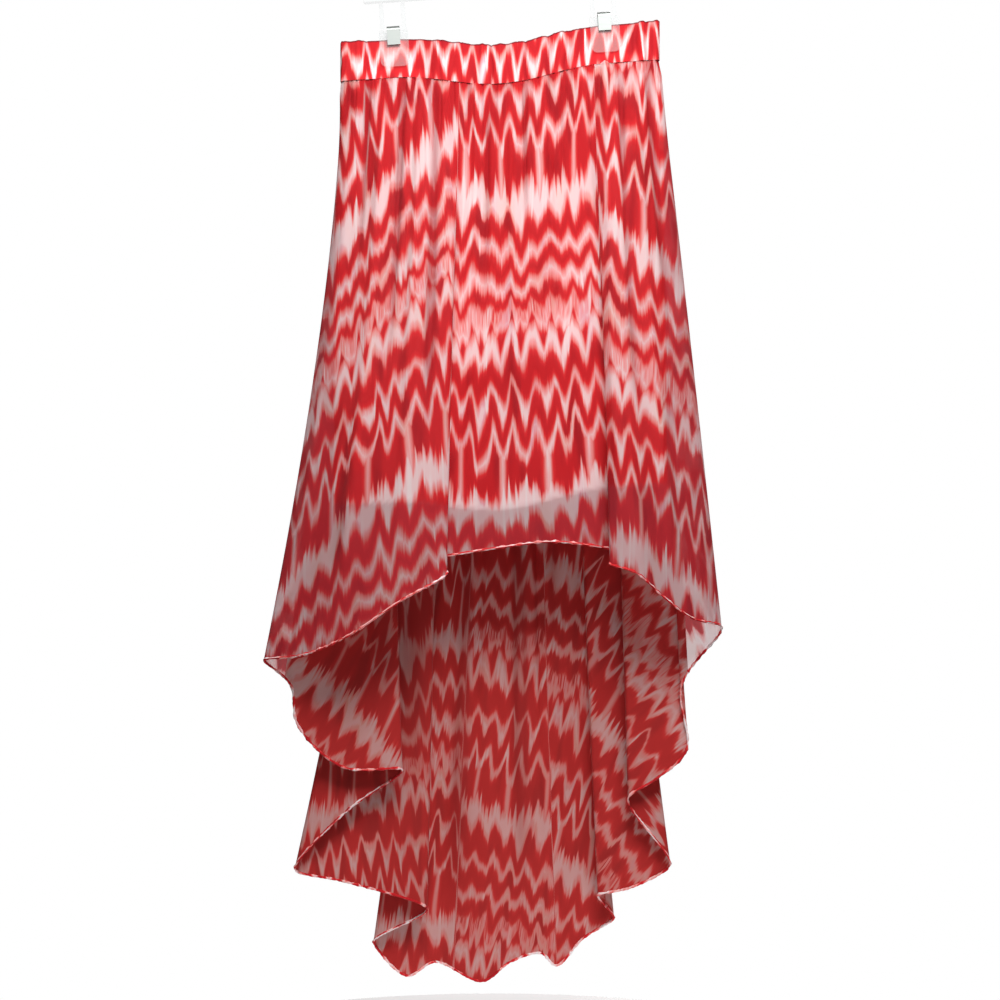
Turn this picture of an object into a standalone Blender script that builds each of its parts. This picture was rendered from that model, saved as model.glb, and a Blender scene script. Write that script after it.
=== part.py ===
"""A high-low skirt hanging from a clip hanger.

Metres, +Z up. +X is the viewer's right and the skirt's front faces -Y.
The origin is the inside top of the hanger's hook, where a rail carries it.
"""

import math
from collections import namedtuple

import bmesh
import bpy
from mathutils import Matrix, Vector

# Hanger, whose right side hangs higher than its left
HANGER_TILT = math.radians(3.9)
GARMENT_CENTRE_X = 0.009

# Waistband: a gathered tube over elastic, pinched flat in the two clips
BAND_TOP_Z = -0.120
BAND_HEIGHT = 0.044
BAND_WALL = 0.0020
BAND_SAG = 0.016
BAND_HALF_WIDTH = 0.178
BAND_END_RADIUS = 0.0075
BAND_GATHER_DEPTH = 0.0016
BAND_SCALLOP = 0.0011
CLIP_FROM_CENTRE = 0.119
PINCH_FLAT = 0.0205
PINCH_REACH = 0.032
PINCHED_HALF_DEPTH = 0.0014
PINCH_RELEASE = 0.85
MIDDLE_HALF_DEPTH = 0.0125

# Cloth
CLOTH_WALL = 0.0011
LINING_WALL = 0.0010
SEAM_GAP = 0.0003
GATHER_COUNT = 32
GATHER_DRIFT = ((5, 0.94), (13, 0.57))
GATHER_DEPTH = 0.0030
GATHER_AT_SEAM = 0.35
GATHER_GROWS_OVER = 0.020
GATHER_FADE = 0.055
SIDE_SEAMS = (0.262, 0.738)
LEFT_FLARE_EASE = 1.5
RIGHT_FLARE_EASE = 0.95
DEPTH_EASE = 0.75
FOLD_SHARE = 0.003
FOLD_DROP = 0.06
FAR_RIGHT_FROM = 0.65

# Lining: a short plain slip inside the skirt
LINING_INSET = 0.0021
LINING_LENGTH = 0.478
LINING_HALF_WIDTH = 0.186
LINING_FRONT_Y = -0.034
LINING_BACK_Y = 0.004
LINING_ROUNDING = 0.6
LINING_SQUARE_TO = 0.35

# How finely the cloth is divided
COLUMN_LENGTH = 0.0125
COLUMN_SHARE = 0.0068
MEASURE_STEPS = 8
SEAM_CLEAR_ROWS = 0.15
BAND_COLUMNS = 6 * GATHER_COUNT
BAND_LEVELS = (0.0, 0.4, 0.77, 1.0)
LINING_COLUMNS = 72
LINING_LEVELS = (0.0, 0.12, 0.35, 0.6, 0.8, 1.0)
SKIRT_LEVELS = (0.0, 0.025, 0.07, 0.14, 0.25, 0.42, 0.62, 0.81, 1.0)

# The hem, from the middle of the front round by the viewer's left. share is the share
# of the waist seam above the place, across and depth are its place seen from above, and
# height is the hem's own. Where across turns back, the cloth folds over itself, and roll is
# how far apart the two sides of that fold lie.
HemPlace = namedtuple("HemPlace", "name share across depth height roll")
HEM = (
    HemPlace("front_middle", 0.000, 0.003, -0.046, -0.699, 0.000),
    HemPlace("front_left", 0.040, -0.042, -0.044, -0.706, 0.000),
    HemPlace("left_tuck", 0.055, -0.073, -0.054, -0.713, 0.008),
    HemPlace("left_flute_edge", 0.070, -0.059, -0.078, -0.726, 0.008),
    HemPlace("left_flute_face", 0.120, -0.109, -0.092, -0.757, 0.000),
    HemPlace("left_flute_side", 0.170, -0.164, -0.080, -0.794, 0.000),
    HemPlace("left_near_corner", 0.214, -0.218, -0.048, -0.818, 0.000),
    HemPlace("left_corner", 0.248, -0.264, -0.006, -0.828, 0.014),
    HemPlace("left_return", 0.266, -0.237, 0.008, -0.856, 0.000),
    HemPlace("left_bulge", 0.282, -0.229, 0.012, -0.902, 0.000),
    HemPlace("left_first_face", 0.302, -0.178, 0.016, -0.950, 0.000),
    HemPlace("left_first_edge", 0.325, -0.113, 0.023, -0.955, 0.012),
    HemPlace("left_second_face", 0.343, -0.174, 0.042, -1.002, 0.000),
    HemPlace("left_second_edge", 0.362, -0.235, 0.061, -1.072, 0.012),
    HemPlace("left_third_face", 0.384, -0.182, 0.070, -1.089, 0.000),
    HemPlace("left_third_edge", 0.406, -0.087, 0.079, -1.123, 0.012),
    HemPlace("left_fourth_edge", 0.426, -0.147, 0.109, -1.168, 0.012),
    HemPlace("back_left_wave", 0.446, -0.110, 0.122, -1.210, 0.000),
    HemPlace("back_left_rise", 0.462, -0.077, 0.129, -1.195, 0.000),
    HemPlace("back_low", 0.490, -0.021, 0.120, -1.216, 0.000),
    HemPlace("back_rise", 0.512, 0.012, 0.128, -1.195, 0.000),
    HemPlace("back_right_rise", 0.535, 0.048, 0.121, -1.183, 0.000),
    HemPlace("back_right_wave", 0.556, 0.067, 0.128, -1.199, 0.000),
    HemPlace("back_right_turn", 0.574, 0.098, 0.118, -1.165, 0.000),
    HemPlace("right_fourth_edge", 0.594, 0.133, 0.106, -1.138, 0.010),
    HemPlace("right_third_edge", 0.613, 0.115, 0.082, -1.108, 0.010),
    HemPlace("right_third_face", 0.634, 0.152, 0.074, -1.097, 0.000),
    HemPlace("right_second_edge", 0.655, 0.195, 0.064, -1.067, 0.012),
    HemPlace("right_first_edge", 0.675, 0.148, 0.034, -0.990, 0.012),
    HemPlace("right_first_face", 0.697, 0.178, 0.028, -0.965, 0.000),
    HemPlace("right_bulge", 0.716, 0.212, 0.023, -0.932, 0.000),
    HemPlace("right_return", 0.735, 0.206, 0.012, -0.856, 0.000),
    HemPlace("right_corner", 0.752, 0.248, -0.004, -0.793, 0.014),
    HemPlace("right_near_corner", 0.780, 0.212, -0.050, -0.777, 0.000),
    HemPlace("right_step", 0.803, 0.178, -0.072, -0.752, 0.000),
    HemPlace("right_flute_face", 0.825, 0.148, -0.088, -0.726, 0.000),
    HemPlace("right_flute_edge", 0.847, 0.121, -0.076, -0.716, 0.008),
    HemPlace("right_tuck", 0.862, 0.137, -0.055, -0.705, 0.008),
    HemPlace("front_right", 0.888, 0.100, -0.044, -0.697, 0.000),
    HemPlace("front_right_low", 0.945, 0.055, -0.047, -0.693, 0.000),
)

# Hanger bar and its two rear jaws, in the hanger's own upright frame
BAR_LENGTH = 0.300
BAR_HEIGHT = 0.009
BAR_DEPTH = 0.0115
BAR_Z = -0.0725
BOSS_RADIUS = 0.0065
BOSS_TOP_RADIUS = 0.0052
BOSS_SIDES = 20
BOSS_HEIGHT = 0.014
JAW_WIDTH = 0.033
JAW_HEIGHT = 0.040
JAW_WALL = 0.0022
JAW_CORNER = 0.007
CORNER_STEPS = 5
JAW_BELOW_BAND_TOP = 0.031
JAW_CLEARANCE = 0.0003
ARM_WIDTH = 0.0045
ARM_SPACING = 0.0245
ARM_SET_IN = 0.0002

# Hook
HOOK_WIRE = 0.0032
HOOK_INSIDE_RADIUS = 0.019
HOOK_TIP_ANGLE = math.radians(205.0)
HOOK_BEND_ANGLE = math.radians(-50.0)
HOOK_ARC_STEPS = 26
HOOK_NECK_STEPS = 8
HOOK_NECK_LEAVE = 0.45
HOOK_NECK_ARRIVE = 0.54

# Clip springs: a steel strip bent over the tops of both jaws
SPRING_WIDTH = 0.0145
SPRING_WALL = 0.0008
SPRING_LEG = 0.017
SPRING_ABOVE_JAW = 0.0012
SPRING_BEND_RISE = 0.0042
SPRING_BEND_STEPS = 10

SHARP_ANGLE = math.radians(40.0)

CLOTH_COLOUR = (0.72, 0.16, 0.17)
LINING_COLOUR = (0.90, 0.72, 0.74)
CLEAR_PLASTIC_COLOUR = (0.86, 0.88, 0.88)
STEEL_COLOUR = (0.55, 0.55, 0.56)


def clear_scene():
    for thing in list(bpy.data.objects):
        bpy.data.objects.remove(thing, do_unlink=True)


def make_material(name, colour, roughness, metallic=0.0):
    material = bpy.data.materials.new(name)
    material.use_nodes = True
    shader = material.node_tree.nodes["Principled BSDF"]
    shader.inputs["Base Color"].default_value = (*colour, 1.0)
    shader.inputs["Roughness"].default_value = roughness
    shader.inputs["Metallic"].default_value = metallic
    return material


def place_object(name, mesh, material):
    thing = bpy.data.objects.new(name, mesh)
    mesh.materials.clear()
    mesh.materials.append(material)
    bpy.context.scene.collection.objects.link(thing)
    return thing


def ease(value):
    """A soft step from 0 to 1."""
    value = min(max(value, 0.0), 1.0)
    return value * value * (3.0 - 2.0 * value)


# Waist and band

def band_perimeter():
    straight = BAND_HALF_WIDTH - BAND_END_RADIUS
    return 4.0 * straight + 2.0 * math.pi * BAND_END_RADIUS


def flat_ring(share):
    """Across and depth on a long flat loop, and which way is out, share of the way round."""
    straight = BAND_HALF_WIDTH - BAND_END_RADIUS
    turn = math.pi * BAND_END_RADIUS
    way = (share % 1.0) * band_perimeter()
    mirror = way > 0.5 * band_perimeter()
    if mirror:
        way = band_perimeter() - way
    if way < straight:
        across, depth, out = -way, -BAND_END_RADIUS, (0.0, -1.0)
    elif way < straight + turn:
        angle = (way - straight) / BAND_END_RADIUS
        across = -straight - BAND_END_RADIUS * math.sin(angle)
        depth = -BAND_END_RADIUS * math.cos(angle)
        out = (-math.sin(angle), -math.cos(angle))
    else:
        across, depth, out = -straight + (way - straight - turn), BAND_END_RADIUS, (0.0, 1.0)
    if mirror:
        across = -across
        out = (-out[0], out[1])
    return across, depth, out


def half_depth(across, level):
    """Half the band's depth where it is pinched or free, level 0 at its top and 1 at its seam."""
    away = abs(abs(across) - CLIP_FROM_CENTRE)
    pinch = 1.0 - ease((away - PINCH_FLAT) / PINCH_REACH)
    pinch *= 1.0 - PINCH_RELEASE * ease((level - BAND_LEVELS[2]) / (1.0 - BAND_LEVELS[2]))
    middle = ease(1.0 - abs(across) / CLIP_FROM_CENTRE)
    free = BAND_END_RADIUS + (MIDDLE_HALF_DEPTH - BAND_END_RADIUS) * middle
    return free + (PINCHED_HALF_DEPTH - free) * pinch


def waist_point(share, level):
    """Across and depth of the band's middle surface, and which way is out."""
    across, depth, out = flat_ring(share)
    depth *= half_depth(across, level) / BAND_END_RADIUS
    return across, depth, out


def band_top(across):
    """The band's top line, tilted with the hanger and sagging between its clips."""
    sag = 0.0
    if abs(across) < CLIP_FROM_CENTRE:
        sag = 0.5 + 0.5 * math.cos(math.pi * across / CLIP_FROM_CENTRE)
    return BAND_TOP_Z + math.tan(HANGER_TILT) * across - BAND_SAG * sag


def gather_wave(share):
    """0 between two gathers and 1 on one, unevenly spaced."""
    angle = 2.0 * math.pi * share
    drift = sum(size * math.sin(waves * angle) for waves, size in GATHER_DRIFT)
    return 0.5 + 0.5 * math.cos(GATHER_COUNT * angle + drift)


def free_of_clips(across):
    """1 away from the clips and 0 where a jaw presses the cloth flat."""
    away = abs(abs(across) - CLIP_FROM_CENTRE)
    return ease((away - PINCH_FLAT) / (0.5 * JAW_WIDTH))


def band_point(share, level):
    across, depth, out = waist_point(share, level)
    swell = BAND_GATHER_DEPTH * gather_wave(share) * free_of_clips(across)
    height = band_top(across) - level * BAND_HEIGHT
    height += BAND_SCALLOP * (1.0 - level) * gather_wave(share) * free_of_clips(across)
    return Vector((across + out[0] * swell, depth + out[1] * swell, height))


# Skirt

def blend_rows(rows, place):
    """A smooth closed curve through rows of numbers, place counted in rows."""
    count = len(rows)
    row = int(math.floor(place)) % count
    part = place - math.floor(place)
    before, here, after, beyond = (rows[(row + step) % count] for step in (-1, 0, 1, 2))
    left = math.sqrt(math.dist(before[:3], here[:3]))
    middle = math.sqrt(math.dist(here[:3], after[:3]))
    right = math.sqrt(math.dist(after[:3], beyond[:3]))
    result = []
    for a, b, c, d in zip(before, here, after, beyond):
        start = (b - a) / left - (c - a) / (left + middle) + (c - b) / middle
        end = (c - b) / middle - (d - b) / (middle + right) + (d - c) / right
        start *= middle
        end *= middle
        result.append(
            b * (2 * part**3 - 3 * part**2 + 1) + start * (part**3 - 2 * part**2 + part)
            + c * (-2 * part**3 + 3 * part**2) + end * (part**3 - part**2)
        )
    return result


def hem_rows():
    """The hem's places as (across, depth, height, share), each fold's edge made round by two."""
    rows = []
    for index, here in enumerate(HEM):
        before, after = HEM[index - 1], HEM[(index + 1) % len(HEM)]
        if here.roll == 0.0:
            rows.append((here.across, here.depth, here.height, here.share))
            continue
        turn = math.copysign(0.5 * here.roll, after.depth - before.depth)
        drop = FOLD_DROP * (after.height - before.height)
        for side in (-1, 1):
            rows.append((
                here.across,
                here.depth + side * turn,
                here.height + side * drop,
                here.share + side * FOLD_SHARE,
            ))
    return rows


HEM_ROWS = hem_rows()


def hem_point(place):
    return Vector(blend_rows(HEM_ROWS, place)[:3])


def share_span(row):
    """The waist's shares above a row of the hem and above the next one."""
    here = HEM_ROWS[row][3]
    after = HEM_ROWS[row + 1][3] if row + 1 < len(HEM_ROWS) else 1.0
    return here, after


def waist_share(place):
    """The share of the waist seam above a place on the hem, counted in rows."""
    row = int(math.floor(place)) % len(HEM_ROWS)
    here, after = share_span(row)
    return here + (after - here) * (place - math.floor(place))


def place_of_share(share):
    """The place on the hem below a share of the waist seam."""
    for row in range(len(HEM_ROWS)):
        here, after = share_span(row)
        if here <= share < after:
            return row + (share - here) / (after - here)
    return float(len(HEM_ROWS))


def skirt_columns():
    """Places on the hem for the wall's columns, closer together where the hem turns."""
    places = []
    for row in range(len(HEM_ROWS)):
        steps = [hem_point(row + step / MEASURE_STEPS) for step in range(MEASURE_STEPS + 1)]
        length = sum((after - here).length for here, after in zip(steps, steps[1:]))
        width = share_span(row)[1] - share_span(row)[0]
        count = max(2, math.ceil(length / COLUMN_LENGTH), math.ceil(width / COLUMN_SHARE))
        for step in range(count):
            part = step / count
            places.append(row + part)
    return places


def skirt_point(place, fall):
    """A point of the skirt's cloth, fall 0 at the waist seam and 1 at the hem."""
    share = waist_share(place)
    across, depth, out = waist_point(share, 1.0)
    seam = band_top(across) - BAND_HEIGHT - SEAM_GAP
    hem = hem_point(place)
    far_right = ease((across / BAND_HALF_WIDTH - FAR_RIGHT_FROM) / (1.0 - FAR_RIGHT_FROM))
    flare = fall ** (LEFT_FLARE_EASE + (RIGHT_FLARE_EASE - LEFT_FLARE_EASE) * far_right)
    below = fall * (seam - hem.z)
    swell = GATHER_DEPTH * gather_wave(share) * math.exp(-((below / GATHER_FADE) ** 2))
    swell *= GATHER_AT_SEAM + (1.0 - GATHER_AT_SEAM) * ease(below / GATHER_GROWS_OVER)
    return Vector((
        across + (hem.x - across) * flare + out[0] * swell,
        depth + (hem.y - depth) * fall**DEPTH_EASE + out[1] * swell,
        seam + (hem.z - seam) * fall,
    ))


def lining_point(share, fall):
    """A point of the slip, fall 0 at the waist seam and 1 at its hem."""
    across, depth, out = waist_point(share, 1.0)
    top = band_top(across) - BAND_HEIGHT - SEAM_GAP
    across -= out[0] * LINING_INSET
    depth -= out[1] * LINING_INSET
    grow = LINING_HALF_WIDTH / BAND_HALF_WIDTH
    middle_y = 0.5 * (LINING_FRONT_Y + LINING_BACK_Y)
    reach_y = 0.5 * (LINING_BACK_Y - LINING_FRONT_Y)
    facing = math.cos(2.0 * math.pi * share)
    bottom_x = across * grow
    bottom_y = middle_y - reach_y * facing / max(LINING_SQUARE_TO, abs(facing)) ** LINING_ROUNDING
    return Vector((
        across + (bottom_x - across) * fall,
        depth + (bottom_y - depth) * ease(fall),
        top - LINING_LENGTH * fall,
    ))


# Walls of cloth

def grid_normals(grid, closed):
    """The outward direction at each point of a grid of rows from top to hem."""
    rows, columns = len(grid), len(grid[0])
    normals = []
    for row in range(rows):
        line = []
        for column in range(columns):
            if closed:
                before, after = (column - 1) % columns, (column + 1) % columns
            else:
                before, after = max(column - 1, 0), min(column + 1, columns - 1)
            above, below = max(row - 1, 0), min(row + 1, rows - 1)
            along = grid[row][after] - grid[row][before]
            down = grid[below][column] - grid[above][column]
            line.append(along.cross(down).normalized())
        normals.append(line)
    return normals


def draw_in_edges(grid):
    """Pull both side edges of an open grid in by half the gap of a seam."""
    for line in grid:
        for edge, neighbour in ((0, 1), (-1, -2)):
            inward = line[neighbour] - line[edge]
            line[edge] = line[edge] + inward.normalized() * (0.5 * SEAM_GAP)


def make_wall(name, grid, thickness, closed, material):
    """A closed wall of even thickness round a grid of middle points."""
    if not closed:
        draw_in_edges(grid)
    normals = grid_normals(grid, closed)
    rows, columns = len(grid), len(grid[0])
    shift = Vector((GARMENT_CENTRE_X, 0.0, 0.0))
    mesh = bpy.data.meshes.new(name)
    work = bmesh.new()
    skins = []
    for side in (0.5, -0.5):
        skin = []
        for row in range(rows):
            skin.append([
                work.verts.new(grid[row][column] + normals[row][column] * (side * thickness) + shift)
                for column in range(columns)
            ])
        skins.append(skin)
    outer, inner = skins
    last = columns if closed else columns - 1
    for column in range(last):
        after = (column + 1) % columns
        for row in range(rows - 1):
            low = row + 1
            work.faces.new((outer[row][column], outer[row][after], outer[low][after], outer[low][column]))
            work.faces.new((inner[row][column], inner[low][column], inner[low][after], inner[row][after]))
        work.faces.new((outer[0][column], inner[0][column], inner[0][after], outer[0][after]))
        work.faces.new((outer[-1][column], outer[-1][after], inner[-1][after], inner[-1][column]))
    if not closed:
        for row in range(rows - 1):
            work.faces.new((outer[row][0], outer[row + 1][0], inner[row + 1][0], inner[row][0]))
            work.faces.new((outer[row][-1], inner[row][-1], inner[row + 1][-1], outer[row + 1][-1]))
    bmesh.ops.triangulate(work, faces=work.faces[:])
    work.to_mesh(mesh)
    work.free()
    mesh.shade_smooth()
    return place_object(name, mesh, material)


def make_waistband(material):
    grid = [
        [band_point(column / BAND_COLUMNS, level) for column in range(BAND_COLUMNS)]
        for level in BAND_LEVELS
    ]
    return make_wall("waistband", grid, BAND_WALL, True, material)


def make_skirt_panels(material):
    """The front and the back, parted at the two side seams."""
    first, second = (place_of_share(share) for share in SIDE_SEAMS)
    places = skirt_columns()
    inner = [place for place in places if first + SEAM_CLEAR_ROWS < place < second - SEAM_CLEAR_ROWS]
    back = [first] + inner + [second]
    before = [place for place in places if place < first - SEAM_CLEAR_ROWS]
    after = [place for place in places if place > second + SEAM_CLEAR_ROWS]
    front = [second] + after + before + [first]
    for name, line in (("skirt_front", front), ("skirt_back", back)):
        grid = [[skirt_point(place, fall) for place in line] for fall in SKIRT_LEVELS]
        make_wall(name, grid, CLOTH_WALL, False, material)


def make_lining(material):
    grid = [
        [lining_point(column / LINING_COLUMNS, fall) for column in range(LINING_COLUMNS)]
        for fall in LINING_LEVELS
    ]
    return make_wall("lining", grid, LINING_WALL, True, material)


# Hanger

def hanger_frame():
    """The hanger swings about the hook's inside top, right side up."""
    return Matrix.Rotation(-HANGER_TILT, 4, "Y")


def box_mesh(name, low, high):
    mesh = bpy.data.meshes.new(name)
    work = bmesh.new()
    size = [high[axis] - low[axis] for axis in range(3)]
    middle = [0.5 * (high[axis] + low[axis]) for axis in range(3)]
    bmesh.ops.create_cube(work, size=1.0, matrix=Matrix.Translation(middle) @ Matrix.Diagonal((*size, 1.0)))
    work.to_mesh(mesh)
    work.free()
    return mesh


def jaw_outline():
    """Half-open outline of a jaw plate seen from the front, its lower corners round."""
    half = 0.5 * JAW_WIDTH
    low = -JAW_BELOW_BAND_TOP
    top = low + JAW_HEIGHT
    points = [(half, top), (-half, top)]
    for corner, start in ((-1, math.pi), (1, 1.5 * math.pi)):
        for step in range(CORNER_STEPS + 1):
            angle = start + 0.5 * math.pi * step / CORNER_STEPS
            points.append((
                corner * (half - JAW_CORNER) + JAW_CORNER * math.cos(angle),
                low + JAW_CORNER + JAW_CORNER * math.sin(angle),
            ))
    return points


def plate_mesh(name, outline, centre_x, base_z, near_y, far_y):
    """An outline in the front view, made solid between two depths."""
    mesh = bpy.data.meshes.new(name)
    work = bmesh.new()
    near = [work.verts.new((centre_x + x, near_y, base_z + z)) for x, z in outline]
    face = work.faces.new(near)
    grown = bmesh.ops.extrude_face_region(work, geom=[face])
    moved = [item for item in grown["geom"] if isinstance(item, bmesh.types.BMVert)]
    bmesh.ops.translate(work, vec=(0.0, far_y - near_y, 0.0), verts=moved)
    bmesh.ops.recalc_face_normals(work, faces=work.faces[:])
    work.to_mesh(mesh)
    work.free()
    return mesh


def join_solids(name, meshes, material):
    """One solid from several that overlap."""
    base = place_object(name, meshes[0], material)
    for index, mesh in enumerate(meshes[1:]):
        guide = place_object(f"{name}_guide_{index}", mesh, material)
        guide.hide_render = True
        guide.display_type = "WIRE"
        union = base.modifiers.new(f"join_{index}", "BOOLEAN")
        union.operation = "UNION"
        union.solver = "EXACT"
        union.object = guide
    return base


def jaw_inner_y():
    """How far a jaw's inner face lies from the middle of the pinched band."""
    return PINCHED_HALF_DEPTH + 0.5 * BAND_WALL + JAW_CLEARANCE


def clip_centre(side):
    return side * CLIP_FROM_CENTRE


def make_hanger_bar(material):
    """The bar, the boss that takes the hook, and two rear jaws on forked arms."""
    half = 0.5 * BAR_LENGTH
    low_y, high_y = jaw_inner_y(), jaw_inner_y() + JAW_WALL
    meshes = [box_mesh("bar", (-half, -0.5 * BAR_DEPTH, BAR_Z - 0.5 * BAR_HEIGHT),
                       (half, 0.5 * BAR_DEPTH, BAR_Z + 0.5 * BAR_HEIGHT))]
    boss = bpy.data.meshes.new("boss")
    work = bmesh.new()
    boss_middle = Matrix.Translation((0.0, 0.0, BAR_Z + 0.5 * BOSS_HEIGHT))
    bmesh.ops.create_cone(work, cap_ends=True, segments=BOSS_SIDES, radius1=BOSS_RADIUS,
                          radius2=BOSS_TOP_RADIUS, depth=BOSS_HEIGHT, matrix=boss_middle)
    work.to_mesh(boss)
    work.free()
    meshes.append(boss)
    for side in (-1, 1):
        centre = clip_centre(side)
        meshes.append(plate_mesh("rear_jaw", jaw_outline(), centre, BAND_TOP_Z, low_y, high_y))
        for edge in (-1, 1):
            middle = centre + edge * 0.5 * ARM_SPACING
            meshes.append(box_mesh(
                "arm",
                (middle - 0.5 * ARM_WIDTH, low_y + ARM_SET_IN, BAND_TOP_Z - 0.5 * JAW_BELOW_BAND_TOP),
                (middle + 0.5 * ARM_WIDTH, high_y - ARM_SET_IN, BAR_Z),
            ))
    bar = join_solids("hanger_bar", meshes, material)
    bar.matrix_world = hanger_frame()
    bpy.context.view_layer.update()
    for thing in bpy.data.objects:
        if thing.name.startswith("hanger_bar_guide"):
            thing.matrix_world = hanger_frame()
    return bar


def make_front_jaw(name, side, material):
    near = -jaw_inner_y()
    mesh = plate_mesh(name, jaw_outline(), clip_centre(side), BAND_TOP_Z, near, near - JAW_WALL)
    jaw = place_object(name, mesh, material)
    jaw.matrix_world = hanger_frame()
    return jaw


def spring_profile():
    """Depth and height along the strip, from the foot of its front leg over to the rear one."""
    outer = jaw_inner_y() + JAW_WALL + JAW_CLEARANCE + 0.5 * SPRING_WALL
    bend_z = BAND_TOP_Z + JAW_HEIGHT - JAW_BELOW_BAND_TOP + SPRING_ABOVE_JAW
    line = [(-outer, bend_z - SPRING_LEG)]
    for step in range(SPRING_BEND_STEPS + 1):
        angle = math.pi * (1.0 - step / SPRING_BEND_STEPS)
        line.append((outer * math.cos(angle), bend_z + SPRING_BEND_RISE * math.sin(angle)))
    line.append((outer, bend_z - SPRING_LEG))
    return line


def make_spring(name, side, material):
    """A strip of even thickness along the profile."""
    line = spring_profile()
    half_wall = 0.5 * SPRING_WALL
    mesh = bpy.data.meshes.new(name)
    work = bmesh.new()
    rings = []
    for index, (depth, height) in enumerate(line):
        before = Vector(line[max(index - 1, 0)])
        after = Vector(line[min(index + 1, len(line) - 1)])
        along = (after - before).normalized()
        out = Vector((-along.y, along.x)) * half_wall
        ring = []
        for side_x, sign in ((-1, 1), (1, 1), (1, -1), (-1, -1)):
            ring.append(work.verts.new((
                clip_centre(side) + side_x * 0.5 * SPRING_WIDTH,
                depth + sign * out.x,
                height + sign * out.y,
            )))
        rings.append(ring)
    for here, beyond in zip(rings, rings[1:]):
        for corner in range(4):
            after = (corner + 1) % 4
            work.faces.new((here[corner], here[after], beyond[after], beyond[corner]))
    work.faces.new(rings[0])
    work.faces.new(rings[-1])
    bmesh.ops.recalc_face_normals(work, faces=work.faces[:])
    work.to_mesh(mesh)
    work.free()
    mesh.shade_smooth()
    mesh.set_sharp_from_angle(angle=SHARP_ANGLE)
    spring = place_object(name, mesh, material)
    spring.matrix_world = hanger_frame()
    return spring


def hook_route():
    """The wire's middle line: the round hook, open on the left, then the neck into the boss."""
    radius = HOOK_INSIDE_RADIUS + 0.5 * HOOK_WIRE
    centre_z = -HOOK_INSIDE_RADIUS
    route = []
    for step in range(HOOK_ARC_STEPS + 1):
        angle = HOOK_TIP_ANGLE + (HOOK_BEND_ANGLE - HOOK_TIP_ANGLE) * step / HOOK_ARC_STEPS
        route.append((radius * math.cos(angle), centre_z + radius * math.sin(angle)))
    start = Vector(route[-1])
    end = Vector((0.0, BAR_Z + BOSS_HEIGHT + SEAM_GAP))
    heading = Vector((math.sin(HOOK_BEND_ANGLE), -math.cos(HOOK_BEND_ANGLE)))
    reach = (start - end).length
    leaving = start + heading * (HOOK_NECK_LEAVE * reach)
    arriving = end + Vector((0.0, HOOK_NECK_ARRIVE * reach))
    for step in range(1, HOOK_NECK_STEPS + 1):
        part = step / HOOK_NECK_STEPS
        rest = 1.0 - part
        point = start * rest**3 + leaving * (3.0 * rest**2 * part)
        point += arriving * (3.0 * rest * part**2) + end * part**3
        route.append((point.x, point.y))
    return route


def make_hook(material):
    curve = bpy.data.curves.new("hanger_hook", "CURVE")
    curve.dimensions = "3D"
    curve.bevel_depth = 0.5 * HOOK_WIRE
    curve.bevel_resolution = 2
    curve.use_fill_caps = True
    spline = curve.splines.new("POLY")
    route = hook_route()
    spline.points.add(len(route) - 1)
    for point, (x, z) in zip(spline.points, route):
        point.co = (x, 0.0, z, 1.0)
    hook = bpy.data.objects.new("hanger_hook", curve)
    curve.materials.append(material)
    bpy.context.scene.collection.objects.link(hook)
    hook.matrix_world = hanger_frame()
    return hook


def main():
    clear_scene()
    cloth = make_material("chiffon", CLOTH_COLOUR, 0.75)
    slip = make_material("slip_cloth", LINING_COLOUR, 0.80)
    plastic = make_material("clear_plastic", CLEAR_PLASTIC_COLOUR, 0.12)
    steel = make_material("spring_steel", STEEL_COLOUR, 0.30, 1.0)
    make_waistband(cloth)
    make_skirt_panels(cloth)
    make_lining(slip)
    make_hanger_bar(plastic)
    make_hook(steel)
    for word, side in (("left", -1), ("right", 1)):
        make_front_jaw(f"clip_jaw_{word}", side, plastic)
        make_spring(f"clip_spring_{word}", side, steel)


main()
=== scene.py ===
"""The looks of the high-low skirt on its clip hanger: printed chiffon, slip, hems, clips and light."""

import math
from collections import namedtuple

import bpy
import numpy as np
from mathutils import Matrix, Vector


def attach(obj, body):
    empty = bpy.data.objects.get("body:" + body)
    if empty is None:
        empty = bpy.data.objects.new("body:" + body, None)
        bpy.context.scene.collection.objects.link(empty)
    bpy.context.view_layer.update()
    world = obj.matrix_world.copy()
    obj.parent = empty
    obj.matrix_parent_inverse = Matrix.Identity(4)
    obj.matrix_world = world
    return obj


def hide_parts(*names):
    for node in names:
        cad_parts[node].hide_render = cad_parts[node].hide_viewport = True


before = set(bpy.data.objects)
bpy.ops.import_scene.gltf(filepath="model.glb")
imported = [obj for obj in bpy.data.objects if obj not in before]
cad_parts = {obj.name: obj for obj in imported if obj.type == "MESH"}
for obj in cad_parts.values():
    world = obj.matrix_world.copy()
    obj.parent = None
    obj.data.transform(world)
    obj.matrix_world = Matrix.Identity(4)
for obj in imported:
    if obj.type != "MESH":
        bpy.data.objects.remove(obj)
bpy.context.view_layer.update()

# Sizes that the model's cloth was made with, in metres
HANGER_TILT = math.radians(3.9)
GARMENT_CENTRE_X = 0.009
BAND_TOP_Z = -0.120
BAND_HEIGHT = 0.044
BAND_WALL = 0.0020
BAND_SAG = 0.016
BAND_HALF_WIDTH = 0.178
BAND_END_RADIUS = 0.0075
BAND_GATHER_DEPTH = 0.0016
BAND_SCALLOP = 0.0011
CLIP_FROM_CENTRE = 0.119
PINCH_FLAT = 0.0205
PINCH_REACH = 0.032
PINCHED_HALF_DEPTH = 0.0014
PINCH_RELEASE = 0.85
PINCH_RELEASE_FROM = 0.77
MIDDLE_HALF_DEPTH = 0.0125
JAW_WIDTH = 0.033
SEAM_GAP = 0.0003
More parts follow.
